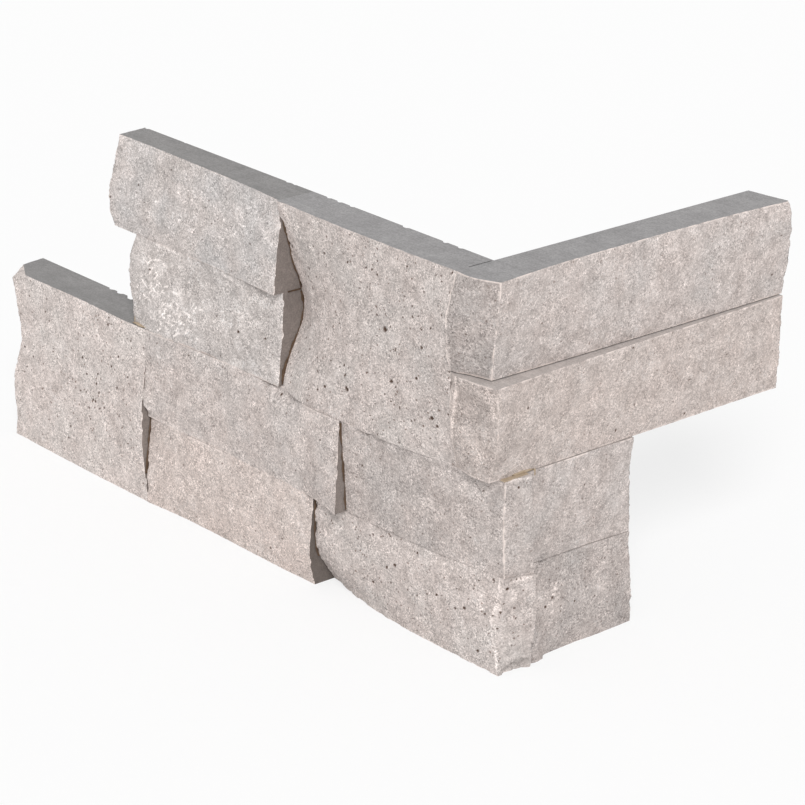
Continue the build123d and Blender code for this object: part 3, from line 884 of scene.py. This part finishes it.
# Its south tone is lowered as painted shade, beside the proud face of the tall middle strip
skin(
    "short_top", {SOUTH: (1.0, 0.72), EAST: (1.0, 0.92), NORTH: (1.6, 0.9)},
    [split_grey, top_bed, sawn_end], 21, pit_count=10, bed_calm=0.93, open_beds=("bottom",),
    edges={"left": 1.4, "corner": 1.1, "bottom": 1.3, "top": 1.1},
    forms=[
        (SOUTH, 0, 117, 6, 7, 0.6), (EAST, 134, 145, 8, 8, 1.3), (EAST, 138, 153, 3, 2, -1.2),
        (EAST, 60, 115, 70, 5, 0.4),
    ],
    pits=[(EAST, 129.5, 124, 0.44)],
    strokes=[(SOUTH, [(-0.6, 151), (-0.4, 138), (0.2, 126), (0.4, 117)], 0.75, 1.5, 0.2)],
)
skin(
    "short_third", {SOUTH: (1.0, 0.77), EAST: (1.0, 0.84), NORTH: (1.6, 0.9)},
    warm_stone, 22, pit_count=12, forms=[(SOUTH, 3, 113, 6, 5, 0.9)], bed_calm=0.93,
    open_beds=("top",), edges={"left": 1.4, "corner": 0.9, "bottom": 0.8, "top": 1.1},
    strokes=[
        # Two patches of painted shadow on the south face
        (SOUTH, [(7, 106), (16, 104)], 3.5, 0.9, 0.0), (SOUTH, [(6, 97), (18, 99)], 2.5, 0.9, 0.0),
        (SOUTH, [(4.2, 113.5), (2.6, 104), (1.6, 96), (0.4, 89)], 0.8, 1.45, 0.2),
        (SOUTH, [(5, 91), (15, 86)], 5.5, 1.08, 0.0),
        (SOUTH, [(19.5, 112), (20.5, 101)], 1.0, 1.3, 0.1),
    ],
)
skin(
    "short_second", {EAST: (1.0, 0.87), NORTH: (1.6, 0.9)}, grey_stone, 23,
    pit_count=5, edges={"top": 1.2}, open_beds=("top",),
)
skin(
    "short_base", {EAST: (1.1, 0.77), NORTH: (1.6, 0.85)}, grey_stone, 24,
    pit_count=24, forms=[(EAST, 5.5, 0.0, 5.0, 6.0, 2.2)], edges={"top": 0.3},
    open_beds=("top",), contrast=1.2,
    pits=[(EAST, 14.9, 22.1, 0.52), (EAST, 11.5, 19.1, 0.52), (EAST, 19.3, 17.5, 0.37)],
    flecks=[(EAST, 15, 22, 5, 4, 12), (EAST, 38, 20, 25, 12, 10)],
    strokes=[
        (EAST, [(9.3, 37.6), (11, 37.8)], 0.6, 0.5, -0.7),
        (EAST, [(11, 38), (31, 38)], 0.3, 0.6, -0.4),
    ],
)

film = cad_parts["adhesive"]
film.data.materials.clear()
film.data.materials.append(glue)

# Adhesive squeezed out on the sawn ends: end, next strip, lowest and highest level, width

for number, (end_x, neighbour, low, high, width) in enumerate((
    (-101.8, "long_tall_middle", 114.5, 146.5, 0.5),
    (-101.8, "long_tall_middle", 77.0, 113.8, 1.1),
    (-59.9, "long_second_through", 39.0, 75.5, 0.8),
    (-78.9, "long_base_through", 12.0, 37.5, 0.5),
    (-184.9, "long_second_middle", 39.0, 45.5, 0.5),
    (-184.9, "long_base_middle", 13.0, 37.5, 0.6),
)):
    seam("adhesive_seam_%d" % number, end_x, neighbour, low, high, width, glue, 100 + number)

# Drops of adhesive: on the step at the left end of the third course, and over the ledge

bead("adhesive_bead_0", (-189.6, -17.7, 76.6), (4.4, 1.0, 0.55), pale_glue, 120)
bead("adhesive_bead_1", (-194.0, -16.4, 78.6), (0.7, 0.9, 2.6), pale_glue, 121)
bead("adhesive_bead_2", (20.0, -1.2, 76.6), (0.5, 5.2, 0.7), pale_glue, 122)
bead("adhesive_bead_3", (20.4, 4.4, 75.0), (0.45, 0.55, 1.7), pale_glue, 123)

# Floor, light and camera

def seen_directly(tree):
    """1 for rays that show a surface as background: camera, glossy and transmission rays."""
    rays = add(tree, "LightPath").outputs
    seen = add(tree, "Math", {0: rays["Is Camera Ray"], 1: rays["Is Glossy Ray"]}, operation="MAXIMUM")
    seen = add(tree, "Math", {0: seen.outputs[0], 1: rays["Is Transmission Ray"]}, operation="MAXIMUM")
    return seen.outputs[0]


# Half the floor's width in metres, and the share of it that glows where it is seen directly
floor_reach = 4
floor_glow = 0.7

ground = bpy.data.meshes.new("floor")
ground.from_pydata([(x * floor_reach, y * floor_reach, 0) for x, y in corner_ways], [], [(0, 1, 2, 3)])
floor = bpy.data.objects.new("floor", ground)
scene.collection.objects.link(floor)
floor_material, tree, shader = blank("floor_finish", 0.9, 0.2)
shader.inputs["Base Color"].default_value = (0.86, 0.86, 0.86, 1.0)
glow = add(tree, "Emission", {"Color": (1.0, 1.0, 1.0, 1.0), "Strength": 1.0})
share = add(tree, "Math", {0: seen_directly(tree), 1: floor_glow}, operation="MULTIPLY")
blend = add(tree, "MixShader", {0: share.outputs[0], 1: shader.outputs[0], 2: glow.outputs[0]})
tree.links.new(blend.outputs[0], tree.nodes["Material Output"].inputs["Surface"])
floor.data.materials.append(floor_material)

world = bpy.data.worlds.new("studio")
scene.world = world
world.use_nodes = True
tree = world.node_tree
soft_light = tree.nodes["Background"]
soft_light.inputs["Color"].default_value = (1.0, 1.0, 1.0, 1.0)
soft_light.inputs["Strength"].default_value = 0.62
plain = add(tree, "Background", {"Color": (1.0, 1.0, 1.0, 1.0), "Strength": 1.0})
blend = add(tree, "MixShader", {0: seen_directly(tree), 1: soft_light.outputs[0], 2: plain.outputs[0]})
tree.links.new(blend.outputs[0], tree.nodes["World Output"].inputs["Surface"])

key = bpy.data.lights.new("key", "SUN")
key.energy = 2.2
key.angle = math.radians(20)
key_light = bpy.data.objects.new("key", key)
key_from = Vector((0.75, -0.65, 0.85))
key_light.rotation_euler = key_from.to_track_quat("Z", "Y").to_euler()
scene.collection.objects.link(key_light)

# Place of the camera in metres, and how far it is turned from the -Y view, tilted down and rolled
camera_place = (0.7893, -0.7436, 0.5269)
camera_turn = 48.39
camera_tilt = 21.65
camera_roll = 1.18

camera = bpy.data.cameras.new("camera")
camera.lens = 142.4
camera.sensor_width = 36.0
camera.clip_end = 20.0
camera_object = bpy.data.objects.new("camera", camera)
look = (
    Matrix.Rotation(math.radians(camera_turn), 4, "Z")
    @ Matrix.Rotation(math.radians(90 - camera_tilt), 4, "X")
    @ Matrix.Rotation(math.radians(camera_roll), 4, "Z")
)
camera_object.matrix_world = Matrix.Translation(camera_place) @ look
scene.collection.objects.link(camera_object)
scene.camera = camera_object

scene.view_settings.view_transform = "Standard"
